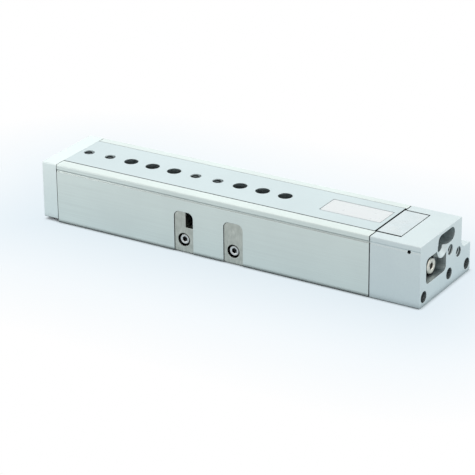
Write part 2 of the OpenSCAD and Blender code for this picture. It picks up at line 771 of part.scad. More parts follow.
module piston_rod() color("#d5d8da") in_frame() difference() {
  union() {
    rod_x(yoke_t, piston_x - yoke_t, bore_y, bore_z, rod_r);
    rod_x(yoke_t, piston_x + piston_len - 0.2 - yoke_t, bore_y, bore_z, stem_r);
  }
  rod_x(yoke_t - cut, rod_screw_len - yoke_t + m4_head_h + 0.5 + cut, bore_y, bore_z,
    m4_r + screw_fit);
}

module rod_screw() color("#6f7478") in_frame()
  translate([0, bore_y, bore_z])
    socket_screw(m4_d, m4_head_d, m4_head_h, rod_screw_len, m4_key);

module piston_groove(at, w, r)
  ring_x(piston_x + at - seat, w + 2 * seat, bore_y, bore_z, bore_r + cut, r - seat);

module piston() color("#9ea4a8") in_frame() difference() {
  rod_x(piston_x, piston_len, bore_y, bore_z, piston_r);
  rod_x(piston_x - cut, piston_len + 2 * cut, bore_y, bore_z, stem_r + seat);
  rod_x(piston_x + piston_len - nut_len - 0.2, nut_len + cut, bore_y, bore_z, nut_recess_r);
  piston_groove(front_seal_at, seal_w, groove_r);
  piston_groove(guide_at, guide_w, groove_r);
  piston_groove(magnet_at, magnet_w, magnet_bore_r);
  piston_groove(rear_seal_at, seal_w, groove_r);
}

module piston_seals() color("#1c1d1f") in_frame()
  for (at = [front_seal_at, rear_seal_at])
    ring_x(piston_x + at, seal_w, bore_y, bore_z, ring_r, groove_r);

module piston_guide_ring() color("#d8d2c2") in_frame()
  ring_x(piston_x + guide_at, guide_w, bore_y, bore_z, ring_r, groove_r);

module piston_magnet() color("#3a3c40") in_frame()
  ring_x(piston_x + magnet_at, magnet_w, bore_y, bore_z, magnet_r, magnet_bore_r);

module piston_nut() color("#8a8f93") in_frame() difference() {
  translate([piston_x + piston_len - nut_len - 0.2, bore_y, bore_z]) rotate([0, 90, 0])
    cylinder(h = nut_len, r = nut_af / 2 / cos(30), $fn = 6);
  rod_x(piston_x, 2 * piston_len, bore_y, bore_z, stem_r + seat);
}

module rear_stop_arm() color("#b9bfc0") in_frame() difference() {
  union() {
    table_bar(table_end, arm_end - table_end, lip_w + plate_gap,
      well_w - plate_gap - plate_far_gap);
    translate([arm_end - cut, lug_y, table_bottom])
      cube([lug_end - arm_end + cut, lug_w, lug_top - table_bottom]);
    translate([lug_x, lug_y, lug_bottom]) cube([lug_end - lug_x, lug_w, lug_top - lug_bottom]);
  }
  translate([table_end - cut, 0, body_h - arm_relief_h])
    cube([arm_relief + cut, base_w, arm_relief_h + cut]);
  for (y = arm_screw_at) {
    rod_x(arm_end - m3_head_h - arm_screw_inset, m3_head_h + arm_screw_inset + cut, y,
      key_slot_z, m3_head_d / 2 + head_play);
    rod_x(table_end - cut, arm_end - table_end, y, key_slot_z, m3_r + screw_fit);
  }
  rod_x(lug_x - cut, lug_end - lug_x + 2 * cut, stop_y, stop_z, stop_r + stop_fit);
  rod_y(lug_y - cut, stop_y - lug_y, (lug_x + lug_end) / 2, stop_z, lock_r + screw_fit);
}

module arm_screws() color("#6f7478") in_frame()
  for (y = arm_screw_at)
    translate([arm_end - arm_screw_inset, y, key_slot_z]) rotate([0, 0, 180])
      socket_screw(m3_d, m3_head_d, m3_head_h, arm_screw_len, m3_key);

module stop_lock_screws() color("#6f7478") in_frame() {
  translate([yoke_t / 2, stop_y, yoke_lift + 2.5])
    cylinder(h = stop_z - stop_r - lock_gap - yoke_lift - 2.5, r = lock_r);
  rod_y(lug_y + 0.1, stop_y - stop_r - lock_gap - lug_y - 0.1, (lug_x + lug_end) / 2, stop_z,
    lock_r);
}

module label() color("#f4f6f6") in_frame()
  translate([label_x, label_y, body_h - label_recess]) cube([label_len, label_w, label_t]);

module front_stop_screw() color("#7c8286") in_frame()
  stop_screw(front_screw_x, front_screw_len, front_screw_x);

module rear_stop_screw() color("#cfd2ce") in_frame()
  stop_screw(rear_screw_x, rear_screw_end - rear_screw_x, rear_screw_end);

housing();
rear_cap();
cap_screws();
cap_pin();
spigot_oring();
duct_oring();
duct_ball();
outer_rail_near();
outer_rail_far();
bearing_cap();
bearing_circlip();
rod_bushing();
rod_seal();
rod_wiper();
bearing_oring();
front_stop_block();
rear_stop_block();
stop_block_screws();
front_buffer();
rear_buffer();
slide_table();
yoke_plate();
yoke_screws();
yoke_pins();
inner_rail_near();
inner_rail_far();
piston_rod();
rod_screw();
piston();
piston_seals();
piston_guide_ring();
piston_magnet();
piston_nut();
rear_stop_arm();
arm_screws();
stop_lock_screws();
label();
front_stop_screw();
rear_stop_screw();
cage_near();
balls_near();
cage_far();
balls_far();
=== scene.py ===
import json
import math

import bmesh
import bpy
from mathutils import Matrix, Vector


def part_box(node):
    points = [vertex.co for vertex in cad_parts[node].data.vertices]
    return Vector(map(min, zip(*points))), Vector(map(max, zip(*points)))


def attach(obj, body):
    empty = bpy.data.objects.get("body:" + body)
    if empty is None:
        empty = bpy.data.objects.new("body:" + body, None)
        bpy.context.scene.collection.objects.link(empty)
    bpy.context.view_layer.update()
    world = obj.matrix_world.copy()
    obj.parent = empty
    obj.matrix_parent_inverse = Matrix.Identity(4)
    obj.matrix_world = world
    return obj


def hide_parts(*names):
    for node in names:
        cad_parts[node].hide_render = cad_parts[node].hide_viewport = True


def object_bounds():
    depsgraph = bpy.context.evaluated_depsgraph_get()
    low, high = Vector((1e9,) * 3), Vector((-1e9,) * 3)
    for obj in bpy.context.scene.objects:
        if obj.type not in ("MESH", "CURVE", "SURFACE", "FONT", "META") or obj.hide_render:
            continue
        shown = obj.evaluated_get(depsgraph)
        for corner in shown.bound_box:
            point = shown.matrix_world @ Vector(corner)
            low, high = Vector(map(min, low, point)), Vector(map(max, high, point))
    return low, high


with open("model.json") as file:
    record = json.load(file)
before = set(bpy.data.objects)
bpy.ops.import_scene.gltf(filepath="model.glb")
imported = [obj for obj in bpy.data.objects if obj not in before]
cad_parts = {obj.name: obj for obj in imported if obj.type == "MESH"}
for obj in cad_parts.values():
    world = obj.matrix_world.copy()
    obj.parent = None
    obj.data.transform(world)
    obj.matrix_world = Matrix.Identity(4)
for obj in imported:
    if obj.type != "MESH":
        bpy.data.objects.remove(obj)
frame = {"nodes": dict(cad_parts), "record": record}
cadLow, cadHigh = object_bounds()
nodes = frame["nodes"]
mounts = {mount["name"]: mount for mount in frame["record"]["mounts"]}
print("frame loaded:", len(nodes), "nodes")

millimetre = 0.001
fullTurn = 2 * math.pi


def hexColour(code):
    # sRGB hex to the linear colour that a shader reads
    channels = [int(code[i:i + 2], 16) / 255 for i in (1, 3, 5)]
    linear = [c / 12.92 if c <= 0.04045 else ((c + 0.055) / 1.055) ** 2.4 for c in channels]
    return (*linear, 1)


def addNode(tree, kind, settings=None, inputs=None):
    # one node with its settings, its values and the links into it
    node = tree.nodes.new(kind)
    for key, value in (settings or {}).items():
        setattr(node, key, value)
    for key, value in (inputs or {}).items():
        if isinstance(value, bpy.types.NodeSocket):
            tree.links.new(value, node.inputs[key])
        else:
            node.inputs[key].default_value = value
    return node


def newMaterial(name):
    material = bpy.data.materials.new(name)
    material.use_nodes = True
    tree = material.node_tree
    shader = tree.nodes["Principled BSDF"]
    place = addNode(tree, "ShaderNodeTexCoord").outputs["Object"]
    return material, tree, shader, place


def dress(nodeNames, material):
    # gives carried-over CAD nodes their finish
    for name in nodeNames:
        slots = nodes[name].data.materials
        slots.clear()
        slots.append(material)


studio = {
    "lens": 173.7, "sensor": 36,
    "cameraAt": (0.5272, -0.8654, 0.4454),
    "right": (0.8528, 0.5222, -0.0098), "down": (0.2013, -0.3458, -0.9164),
    "worldColour": "#F2F5F6", "worldStrength": 0.6,
    "floorSize": 8,
    "floorColours": ("#DFE7EC", "#E3EBEF"), "floorRoughness": 0.8,
    "fibre": 2,                  # mm, grain of the paper
    # painted shade: the pale blue tint of the floor's glow beside the object
    "shadeTintNear": "#EAF5FC",      # colour of the white share beside the object
    "whiteNear": 0.86,           # white share beside the object
    "fadeEnd": 60,               # mm from the object, where the white share is full
    "tintEnd": 110,              # mm from the object, where the white has no tint
    # painted shade: the floor's glow fades out where the sky is shut within this distance, a thin
    # dark line
    "contact": 2.2,              # mm round each touching piece, where the floor darkens
    "contactSpan": (0.5, 0.95),  # open share of the sky from full dark to none
    "lamps": {
        "overhead": {"at": (-0.2, 0.4, 1.6), "size": (1.4, 1.2), "power": 5.1,
                     "colour": "#FFFFFF"},
        "back panel": {"at": (-1.2, 1.45, 0.8), "size": (1.5, 0.8), "power": 2.85,
                       "colour": "#FBFDFF"},
        "left fill": {"at": (-0.2, -0.15, 0.07), "size": (0.12, 0.08), "power": 0.085,
                      "colour": "#FFFFFF"},
        "right fill": {"at": (0.6, 0.4, 0.18), "size": (0.35, 0.3), "power": 0.76,
                       "colour": "#FFFFFF"},
    },
}

scene = bpy.context.scene
scene.view_settings.view_transform = "Standard"


def makeCamera():
    # long lens; right and down are the camera's own axes
    right, down = Vector(studio["right"]).normalized(), Vector(studio["down"]).normalized()
    forward = right.cross(down).normalized()
    up = right.cross(forward)
    lens = bpy.data.cameras.new("camera")
    lens.lens, lens.sensor_width = studio["lens"], studio["sensor"]
    lens.clip_start, lens.clip_end = 0.05, 50
    camera = bpy.data.objects.new("camera", lens)
    scene.collection.objects.link(camera)
    turned = Matrix((right, up, -forward)).transposed().to_4x4()
    camera.matrix_world = Matrix.Translation(Vector(studio["cameraAt"])) @ turned
    scene.camera = camera


def makeWorld():
    # soft even light on the object; straight on and in gloss it shows plain white
    world = bpy.data.worlds.new("studio")
    scene.world = world
    world.use_nodes = True
    tree = world.node_tree
    tree.nodes.clear()
    path = addNode(tree, "ShaderNodeLightPath")
    lit = addNode(tree, "ShaderNodeBackground", inputs={
        "Color": hexColour(studio["worldColour"]), "Strength": studio["worldStrength"]})
    seen = addNode(tree, "ShaderNodeBackground", inputs={"Color": (1, 1, 1, 1), "Strength": 1.0})
    both = addNode(tree, "ShaderNodeMath", {"operation": "MAXIMUM"}, {
        0: path.outputs["Is Camera Ray"], 1: path.outputs["Is Glossy Ray"]})
    mixed = addNode(tree, "ShaderNodeMixShader", inputs={
        0: both.outputs[0], 1: lit.outputs[0], 2: seen.outputs[0]})
    addNode(tree, "ShaderNodeOutputWorld", inputs={"Surface": mixed.outputs[0]})


def makeFloor():
    # matt white paper sweep: pale round the object, where its glow is weaker and tinted pale blue
    # as painted shade;
    # plain white further off; it keeps a light shadow, and painted shade draws a thin dark line
    # under whatever stands on it
    material, tree, shader, place = newMaterial("matt white paper")
    shader.inputs["Roughness"].default_value = studio["floorRoughness"]
    middle = (cadLow + cadHigh) / 2
    half = (cadHigh - cadLow) / 2
    fibres = addNode(tree, "ShaderNodeTexNoise", inputs={
        "Vector": place, "Scale": 1 / (studio["fibre"] * millimetre), "Detail": 3})
    dark, light = studio["floorColours"]
    tone = addNode(tree, "ShaderNodeMix", {"data_type": "RGBA"}, {
        0: fibres.outputs[0], 6: hexColour(dark), 7: hexColour(light)})
    tree.links.new(tone.outputs[2], shader.inputs["Base Color"])
    shifted = addNode(tree, "ShaderNodeVectorMath", {"operation": "SUBTRACT"}, {
        0: place, 1: (middle.x, middle.y, 0)})
    sized = addNode(tree, "ShaderNodeVectorMath", {"operation": "ABSOLUTE"}, {
        0: shifted.outputs[0]})
    beyond = addNode(tree, "ShaderNodeVectorMath", {"operation": "SUBTRACT"}, {
        0: sized.outputs[0], 1: (half.x, half.y, 0)})
    outside = addNode(tree, "ShaderNodeVectorMath", {"operation": "MAXIMUM"}, {
        0: beyond.outputs[0], 1: (0, 0, 0)})
    away = addNode(tree, "ShaderNodeVectorMath", {"operation": "LENGTH"}, {
        0: outside.outputs[0]})
    fade = addNode(tree, "ShaderNodeMapRange", {"interpolation_type": "SMOOTHSTEP"}, {
        "Value": away.outputs["Value"], "From Min": 0,
        "From Max": studio["fadeEnd"] * millimetre, "To Min": studio["whiteNear"]})
    tint = addNode(tree, "ShaderNodeMapRange", inputs={
        "Value": away.outputs["Value"], "From Min": 0,
        "From Max": studio["tintEnd"] * millimetre})
    # painted shade: the glow's colour turns from the pale blue tint beside the object to white
    # further off
    paper = addNode(tree, "ShaderNodeMix", {"data_type": "RGBA"}, {
        0: tint.outputs[0], 6: hexColour(studio["shadeTintNear"]), 7: (1, 1, 1, 1)})
    path = addNode(tree, "ShaderNodeLightPath")
    both = addNode(tree, "ShaderNodeMath", {"operation": "MAXIMUM"}, {
        0: path.outputs["Is Camera Ray"], 1: path.outputs["Is Glossy Ray"]})
    share = addNode(tree, "ShaderNodeMath", {"operation": "MULTIPLY"}, {
        0: both.outputs[0], 1: fade.outputs[0]})
    white = addNode(tree, "ShaderNodeEmission", inputs={
        "Color": paper.outputs[2], "Strength": 1.0})
    # painted shade: a thin dark line where the sky is shut close to the floor
    near = addNode(tree, "ShaderNodeAmbientOcclusion", {"samples": 16}, {
        "Distance": studio["contact"] * millimetre})
    contact = addNode(tree, "ShaderNodeMapRange", inputs={
        "Value": near.outputs["AO"], "From Min": studio["contactSpan"][0],
        "From Max": studio["contactSpan"][1]})
    lifted = addNode(tree, "ShaderNodeMath", {"operation": "MULTIPLY"}, {
        0: share.outputs[0], 1: contact.outputs[0]})
    mixed = addNode(tree, "ShaderNodeMixShader", inputs={
        0: lifted.outputs[0], 1: shader.outputs[0], 2: white.outputs[0]})
    tree.links.new(mixed.outputs[0], tree.nodes["Material Output"].inputs["Surface"])
    mesh = bmesh.new()
    bmesh.ops.create_grid(mesh, x_segments=1, y_segments=1, size=studio["floorSize"] / 2)
    data = bpy.data.meshes.new("floor")
    mesh.to_mesh(data)
    mesh.free()
    data.materials.append(material)
    floor = bpy.data.objects.new("floor", data)
    scene.collection.objects.link(floor)
    floor.location.z = cadLow.z


def makeLamp(name, values):
    # soft rectangular lamp that faces the object
    lamp = bpy.data.lights.new(name, "AREA")
    lamp.shape = "RECTANGLE"
    lamp.size, lamp.size_y = values["size"]
    lamp.energy = values["power"]
    lamp.color = hexColour(values["colour"])[:3]
    holder = bpy.data.objects.new(name, lamp)
    scene.collection.objects.link(holder)
    holder.location = values["at"]
    holder.rotation_euler = (-Vector(values["at"])).to_track_quat("-Z", "Y").to_euler()


makeCamera()
makeWorld()
makeFloor()
for lampName, lampValues in studio["lamps"].items():
    makeLamp(lampName, lampValues)
print("studio made")


pattern = {
    "grainSpan": (0.3, 0.7), "cloudSpan": (0.35, 0.65),
    # the rim span and share shape the mask of painted highlight and painted shade along edges
    "rimSpan": (0.995, 0.8), "rimShare": 0.6,  # agreement of true and rounded normals
    "reliefDepth": 0.02,                       # mm
}


def metalFinish(name, finish):
    # a metal: grain in colour, gloss and relief, painted highlight on bright rims and painted shade
    # on dark ones, painted shade in narrow gaps
    material, tree, shader, place = newMaterial(name)
    shader.inputs["Metallic"].default_value = 1
    grainScale = [1 / (size * millimetre) for size in finish["grain"]]
    stretched = addNode(tree, "ShaderNodeMapping", inputs={"Vector": place, "Scale": grainScale})
    grain = addNode(tree, "ShaderNodeTexNoise", inputs={
        "Vector": stretched.outputs[0], "Scale": 1, "Detail": 4, "Roughness": 0.6})
    cloud = addNode(tree, "ShaderNodeTexNoise", inputs={
        "Vector": place, "Scale": 1 / (finish["cloud"] * millimetre), "Detail": 3})
    spread = addNode(tree, "ShaderNodeMapRange", inputs={
        "Value": grain.outputs[0], "From Min": pattern["grainSpan"][0],
        "From Max": pattern["grainSpan"][1]})
    base = addNode(tree, "ShaderNodeMix", {"data_type": "RGBA"}, {
        0: spread.outputs[0], 6: hexColour(finish["dark"]), 7: hexColour(finish["light"])})
    drift = addNode(tree, "ShaderNodeMapRange", inputs={
        "Value": cloud.outputs[0], "From Min": pattern["cloudSpan"][0],
        "From Max": pattern["cloudSpan"][1], "To Max": finish.get("drift", 0.25)})
    clouded = addNode(tree, "ShaderNodeMix", {"data_type": "RGBA"}, {
        0: drift.outputs[0], 6: base.outputs[2], 7: hexColour(finish["stain"])})
    # painted highlight on bright rims and painted shade on dark ones, where the rounded normal
    # parts from the true one
    rounded = addNode(tree, "ShaderNodeBevel", {"samples": 4}, {
        "Radius": finish["edge"] * millimetre})
    surface = addNode(tree, "ShaderNodeNewGeometry")
    agree = addNode(tree, "ShaderNodeVectorMath", {"operation": "DOT_PRODUCT"}, {
        0: rounded.outputs[0], 1: surface.outputs["Normal"]})
    onEdge = addNode(tree, "ShaderNodeMapRange", inputs={
        "Value": agree.outputs["Value"], "From Min": pattern["rimSpan"][0],
        "From Max": pattern["rimSpan"][1], "To Max": pattern["rimShare"]})
    rimLightShade = addNode(tree, "ShaderNodeMix", {"data_type": "RGBA"}, {
        0: onEdge.outputs[0], 6: clouded.outputs[2], 7: hexColour(finish["rimHighlightShade"])})
    # painted shade in narrow gaps: the colour turns to the crevice shade where the sky is shut
    # within the gap
    shut = addNode(tree, "ShaderNodeAmbientOcclusion", {"samples": 6}, {
        "Distance": finish["gap"] * millimetre})
    opened = addNode(tree, "ShaderNodeMapRange", inputs={
        "Value": shut.outputs["AO"], "From Min": finish.get("shutBelow", 0.3),
        "From Max": finish.get("openAbove", 0.75)})
    shaded = addNode(tree, "ShaderNodeMix", {"data_type": "RGBA"}, {
        0: opened.outputs[0], 6: hexColour(finish["creviceShade"]), 7: rimLightShade.outputs[2]})
    tree.links.new(shaded.outputs[2], shader.inputs["Base Color"])
    gloss = addNode(tree, "ShaderNodeMapRange", inputs={
        "Value": grain.outputs[0], "From Min": pattern["grainSpan"][0],
        "From Max": pattern["grainSpan"][1], "To Min": finish["roughness"][0],
        "To Max": finish["roughness"][1]})
    tree.links.new(gloss.outputs[0], shader.inputs["Roughness"])
    relief = addNode(tree, "ShaderNodeBump", inputs={
        "Strength": finish.get("relief", 0.2), "Distance": pattern["reliefDepth"] * millimetre,
        "Height": grain.outputs[0], "Normal": rounded.outputs[0]})
    tree.links.new(relief.outputs[0], shader.inputs["Normal"])
    return material


def solidFinish(name, finish):
    # rubber, plastic or film: two close tones, a little speckle and relief
    material, tree, shader, place = newMaterial(name)
    shader.inputs["IOR"].default_value = finish["ior"]
    grain = addNode(tree, "ShaderNodeTexNoise", inputs={
        "Vector": place, "Scale": 1 / (finish["grain"] * millimetre), "Detail": 5})
    base = addNode(tree, "ShaderNodeMix", {"data_type": "RGBA"}, {
        0: grain.outputs[0], 6: hexColour(finish["dark"]), 7: hexColour(finish["light"])})
    tree.links.new(base.outputs[2], shader.inputs["Base Color"])
    gloss = addNode(tree, "ShaderNodeMapRange", inputs={
        "Value": grain.outputs[0], "To Min": finish["roughness"][0],
        "To Max": finish["roughness"][1]})
    tree.links.new(gloss.outputs[0], shader.inputs["Roughness"])
    relief = addNode(tree, "ShaderNodeBump", inputs={
        "Strength": finish["relief"], "Distance": pattern["reliefDepth"] * millimetre,
        "Height": grain.outputs[0]})
    tree.links.new(relief.outputs[0], shader.inputs["Normal"])
    return material


# sizes of grain, cloud, edge and gap are in millimetres; the rim colour is painted along edges,
# a painted highlight where it is bright and painted shade where it is dark; shutBelow and openAbove
# are the open shares of the sky from the painted crevice shade to none
# extruded aluminium, satin anodised: pale grey with long faint die lines
anodisedExtrusion = metalFinish("anodised extrusion", {
    "light": "#D2DDDA", "dark": "#C9D3D0", "stain": "#C2CBC9", "rimHighlightShade": "#F0F6F5",
    "creviceShade": "#15191B", "grain": (60, 0.5, 0.5), "cloud": 30, "drift": 0.3,
    "roughness": (0.40, 0.52), "edge": 0.25, "gap": 2, "relief": 0.25, "shutBelow": 0.55,
    "openAbove": 0.98})
# cast and machined aluminium, finely blasted, then anodised: even, slightly blue, no lines
blastedAluminium = metalFinish("blasted anodised aluminium", {
    "light": "#CFDADA", "dark": "#C5D0D2", "stain": "#BFCACD", "rimHighlightShade": "#ECF3F4",
    "creviceShade": "#1A2126", "grain": (0.45, 0.45, 0.45), "cloud": 18, "drift": 0.25,
    "roughness": (0.46, 0.58), "edge": 0.2, "gap": 6, "relief": 0.35, "shutBelow": 0.12,
    "openAbove": 0.7})
# aluminium plate, satin anodised: the palest of the parts, even
anodisedPlate = metalFinish("anodised plate", {
    "light": "#D9E2E1", "dark": "#D0DBDA", "stain": "#C9D5D4", "rimHighlightShade": "#EEF4F3",
    "creviceShade": "#181C1E", "grain": (0.6, 40, 0.6), "cloud": 24, "drift": 0.25,
    "roughness": (0.42, 0.54), "edge": 0.25, "gap": 6, "relief": 0.2})
# table of anodised aluminium, ground along its length: slightly darker, fine long lines, and
# painted shade along its gaps and on its rims
groundTable = metalFinish("ground anodised table", {
    "light": "#C0CDCE", "dark": "#B4C1C3", "stain": "#AEBBBD", "rimHighlightShade": "#5A6466",
    "creviceShade": "#0F1214", "grain": (45, 0.35, 0.35), "cloud": 35, "drift": 0.3,
    "roughness": (0.34, 0.46), "edge": 0.3, "gap": 4, "relief": 0.3, "shutBelow": 0.6,
    "openAbove": 0.97})
# steel, surface ground to a sheen: glossier than the aluminium, soft mottling, dark rims
groundSteel = metalFinish("ground steel", {
    "light": "#BDC4C5", "dark": "#A9B4B6", "stain": "#9EA9AB", "rimHighlightShade": "#555C5E",
    "creviceShade": "#101315", "grain": (9, 7, 9), "cloud": 6, "drift": 0.35,
    "roughness": (0.2, 0.34), "edge": 0.25, "gap": 6, "relief": 0.15})
# stop blocks of steel, ground upright: warm grey with a fine sparkle
blockSteel = metalFinish("ground stop block steel", {
    "light": "#C6CAC3", "dark": "#A6ABA4", "stain": "#979D96", "rimHighlightShade": "#E6E7E1",
    "creviceShade": "#1E2021", "grain": (0.3, 0.3, 3), "cloud": 2.5, "drift": 0.45,
    "roughness": (0.28, 0.48), "edge": 0.12, "gap": 1.2, "relief": 0.5})
# bearing steel rails, hardened and ground along their length
railSteel = metalFinish("hardened rail steel", {
    "light": "#B4B8BA", "dark": "#A3A8AA", "stain": "#989DA0", "rimHighlightShade": "#DCDFE0",
    "creviceShade": "#1E2123", "grain": (20, 0.2, 0.2), "cloud": 15, "roughness": (0.16, 0.28),
    "edge": 0.1, "gap": 1})
# polished bearing balls: near mirrors
ballSteel = metalFinish("polished ball steel", {
    "light": "#DEE0E1", "dark": "#D6D9DA", "stain": "#CED1D2", "rimHighlightShade": "#E6E8E9",
    "creviceShade": "#2A2D2F", "grain": (1.5, 1.5, 1.5), "cloud": 3, "roughness": (0.05, 0.1),
    "edge": 0.02, "gap": 0.8, "relief": 0.03})
# rolled brass strip of the cages: warm yellow with rolling lines
rolledBrass = metalFinish("rolled brass", {
    "light": "#DDBF7C", "dark": "#C9A860", "stain": "#A98848", "rimHighlightShade": "#F0DCA4",
    "creviceShade": "#3A2C14", "grain": (12, 0.2, 0.2), "cloud": 6, "roughness": (0.25, 0.4),
    "edge": 0.05, "gap": 0.8})
# sintered bronze bush: brown, open-grained
sinteredBronze = metalFinish("sintered bronze", {
    "light": "#C29A62", "dark": "#9A7440", "stain": "#7E5E34", "rimHighlightShade": "#D9B780",
    "creviceShade": "#2C2010", "grain": (0.25, 0.25, 0.25), "cloud": 3, "roughness": (0.35, 0.55),
    "edge": 0.08, "gap": 1, "relief": 0.5})
# hard chromed rod: bright, ground round
hardChrome = metalFinish("hard chrome", {
    "light": "#E3E6E8", "dark": "#DADDE0", "stain": "#D2D6D9", "rimHighlightShade": "#EEF0F2",
    "creviceShade": "#24272A", "grain": (0.2, 6, 6), "cloud": 8, "roughness": (0.08, 0.16),
    "edge": 0.05, "gap": 1})
# plain screw steel under an oil film: pale heads, with painted shade that makes the sockets black
screwSteel = metalFinish("screw steel", {
    "light": "#DADDDC", "dark": "#C2C6C5", "stain": "#A9AEAD", "rimHighlightShade": "#E4E6E5",
    "creviceShade": "#141617", "grain": (0.35, 0.35, 0.35), "cloud": 1.6, "drift": 0.4,
    "roughness": (0.24, 0.42), "edge": 0.08, "gap": 2.5, "shutBelow": 0.5,
    "openAbove": 0.9})
# bright turned end of the rear stop screw: warm white with fine turning marks
brightSteel = metalFinish("bright turned steel", {
    "light": "#E4E2D8", "dark": "#D2D0C6", "stain": "#C4C2B8", "rimHighlightShade": "#F6F5F0",
    "creviceShade": "#0E0F10", "grain": (0.3, 0.3, 0.3), "cloud": 4, "roughness": (0.26, 0.4),
    "edge": 0.1, "gap": 2.2, "shutBelow": 0.5, "openAbove": 0.85})
# ground dowel pins: bright, with very fine lines round them
pinSteel = metalFinish("ground pin steel", {
    "light": "#C6CACB", "dark": "#B4B8BA", "stain": "#A8ACAE", "rimHighlightShade": "#E2E4E5",
    "creviceShade": "#1E2123", "grain": (0.2, 4, 4), "cloud": 4, "roughness": (0.14, 0.24),
    "edge": 0.06, "gap": 0.8})
# phosphated spring steel: dark grey, matt
springSteel = metalFinish("phosphated spring steel", {
    "light": "#6A6E70", "dark": "#505456", "stain": "#46494B", "rimHighlightShade": "#9A9EA0",
    "creviceShade": "#101112", "grain": (0.15, 0.15, 0.15), "cloud": 1.5, "roughness": (0.45, 0.6),
    "edge": 0.05, "gap": 0.8})
# turned aluminium inside the cylinder: fine lathe lines round it
turnedAluminium = metalFinish("turned aluminium", {
    "light": "#CCD0D2", "dark": "#BBC0C3", "stain": "#B0B5B8", "rimHighlightShade": "#E8EAEB",
    "creviceShade": "#1E2123", "grain": (0.18, 5, 5), "cloud": 6, "roughness": (0.26, 0.38),
    "edge": 0.08, "gap": 1})
# nitrile rubber: near black, matt, faint bloom
sealRubber = solidFinish("nitrile rubber", {
    "light": "#2A2B2D", "dark": "#18191B", "grain": 0.4, "ior": 1.52,
    "roughness": (0.5, 0.7), "relief": 0.4})
# plastic bonded magnet: dark, slightly grainy
bondedMagnet = solidFinish("plastic bonded magnet", {
    "light": "#3C3E42", "dark": "#2A2B2F", "grain": 0.3, "ior": 1.5,
    "roughness": (0.45, 0.6), "relief": 0.3})
# acetal guide ring: creamy, waxy
acetal = solidFinish("acetal", {
    "light": "#E2DCCB", "dark": "#D8D1BE", "grain": 2, "ior": 1.48,
    "roughness": (0.35, 0.45), "relief": 0.1})
# polyester label film: clean white with a soft sheen, blank
labelFilm = solidFinish("white polyester film", {
    "light": "#FAFEFE", "dark": "#F4FAFB", "grain": 4, "ior": 1.65,
    "roughness": (0.24, 0.34), "relief": 0.08})

dress(["housing"], anodisedExtrusion)
dress(["rear_cap"], blastedAluminium)
dress(["yoke_plate"], anodisedPlate)
dress(["slide_table"], groundTable)
dress(["rear_stop_arm"], groundSteel)
dress(["front_stop_block", "rear_stop_block"], blockSteel)
dress(["outer_rail_near", "outer_rail_far", "inner_rail_near", "inner_rail_far"], railSteel)
dress(["balls_near", "balls_far", "duct_ball"], ballSteel)
dress(["cage_near", "cage_far"], rolledBrass)
dress(["rod_bushing"], sinteredBronze)
dress(["piston_rod"], hardChrome)
dress(["piston_nut"], screwSteel)
dress(["cap_pin", "yoke_pins"], pinSteel)
dress(["bearing_circlip"], springSteel)
dress(["piston", "bearing_cap"], turnedAluminium)
dress(["spigot_oring", "duct_oring", "bearing_oring", "rod_seal", "rod_wiper", "piston_seals"],
      sealRubber)
dress(["piston_magnet"], bondedMagnet)
dress(["piston_guide_ring"], acetal)
print("finishes made")


def solidBoxes(name):
    # boxes of the separate solids in one CAD node, in order along x, then y
    mesh = bmesh.new()
    mesh.from_mesh(nodes[name].data)
    bmesh.ops.remove_doubles(mesh, verts=mesh.verts, dist=1e-6)
    left = set(mesh.verts)
    boxes = []
    while left:
        stack = [left.pop()]
        island = []
        while stack:
            vert = stack.pop()
            island.append(vert.co.copy())
            for edge in vert.link_edges:
                other = edge.other_vert(vert)
                if other in left:
                    left.remove(other)
                    stack.append(other)
        low = Vector([min(p[i] for p in island) for i in range(3)])
        high = Vector([max(p[i] for p in island) for i in range(3)])
        boxes.append((low, high))
    mesh.free()
    return sorted(boxes, key=lambda box: (round(box[0].x, 5), round(box[0].y, 5)))


rimSteps = 72         # steps round a turned part
threadDepth = 0.6     # of the pitch
tipChamfer = 0.3      # mm, at the end of a screw
sharpFrom = 30        # degrees between faces


def finishPiece(name, mesh, material, body, standsFor=()):
    # hangs a finished mesh on its body, in place of the CAD nodes that it stands for
    bmesh.ops.recalc_face_normals(mesh, faces=mesh.faces)
    data = bpy.data.meshes.new(name)
    mesh.to_mesh(data)
    mesh.free()
    data.materials.append(material)
    piece = bpy.data.objects.new(name, data)
    scene.collection.objects.link(piece)
    for polygon in data.polygons:
        polygon.use_smooth = True
    data.set_sharp_from_angle(angle=math.radians(sharpFrom))
    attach(piece, body)
    if standsFor:
        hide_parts(*standsFor)
    return piece


def growLoop(mesh, edges):
    # extrudes a loop of edges and gives back the new loop's verts and edges alone
    grown = bmesh.ops.extrude_edge_only(mesh, edges=edges)["geom"]
    verts = {g for g in grown if isinstance(g, bmesh.types.BMVert)}
    loop = [g for g in grown if isinstance(g, bmesh.types.BMEdge) and verts.issuperset(g.verts)]
    return list(verts), loop


def nextLoop(mesh, edges, radius, height, toothed=0):
    # carries a loop round the z axis on to a new radius and height
    verts, loop = growLoop(mesh, edges)
    for vert in verts:
        flat = Vector((vert.co.x, vert.co.y, 0)).normalized()
        step = toothed * (round(math.atan2(flat.y, flat.x) / fullTurn * rimSteps) % 2)
        vert.co = flat * (radius - step) + Vector((0, 0, height))
    return loop


def closeLoop(mesh, edges, height):
    # draws a loop together to a point on the axis
    tip, loop = growLoop(mesh, edges)
    bmesh.ops.pointmerge(mesh, verts=tip, merge_co=Vector((0, 0, height)))


def turnPart(mesh, loop, stations, end):
    # carries a loop through radii and heights, with knurl teeth where given, and closes it
    for station in stations:
        loop = nextLoop(mesh, loop, *station)
    closeLoop(mesh, loop, end)


# lead in: share of the key's width; drill cone below and flare above: shares of the lead in
socketShape = {"lead": 0.12, "cone": 2.2, "flare": 0.6}


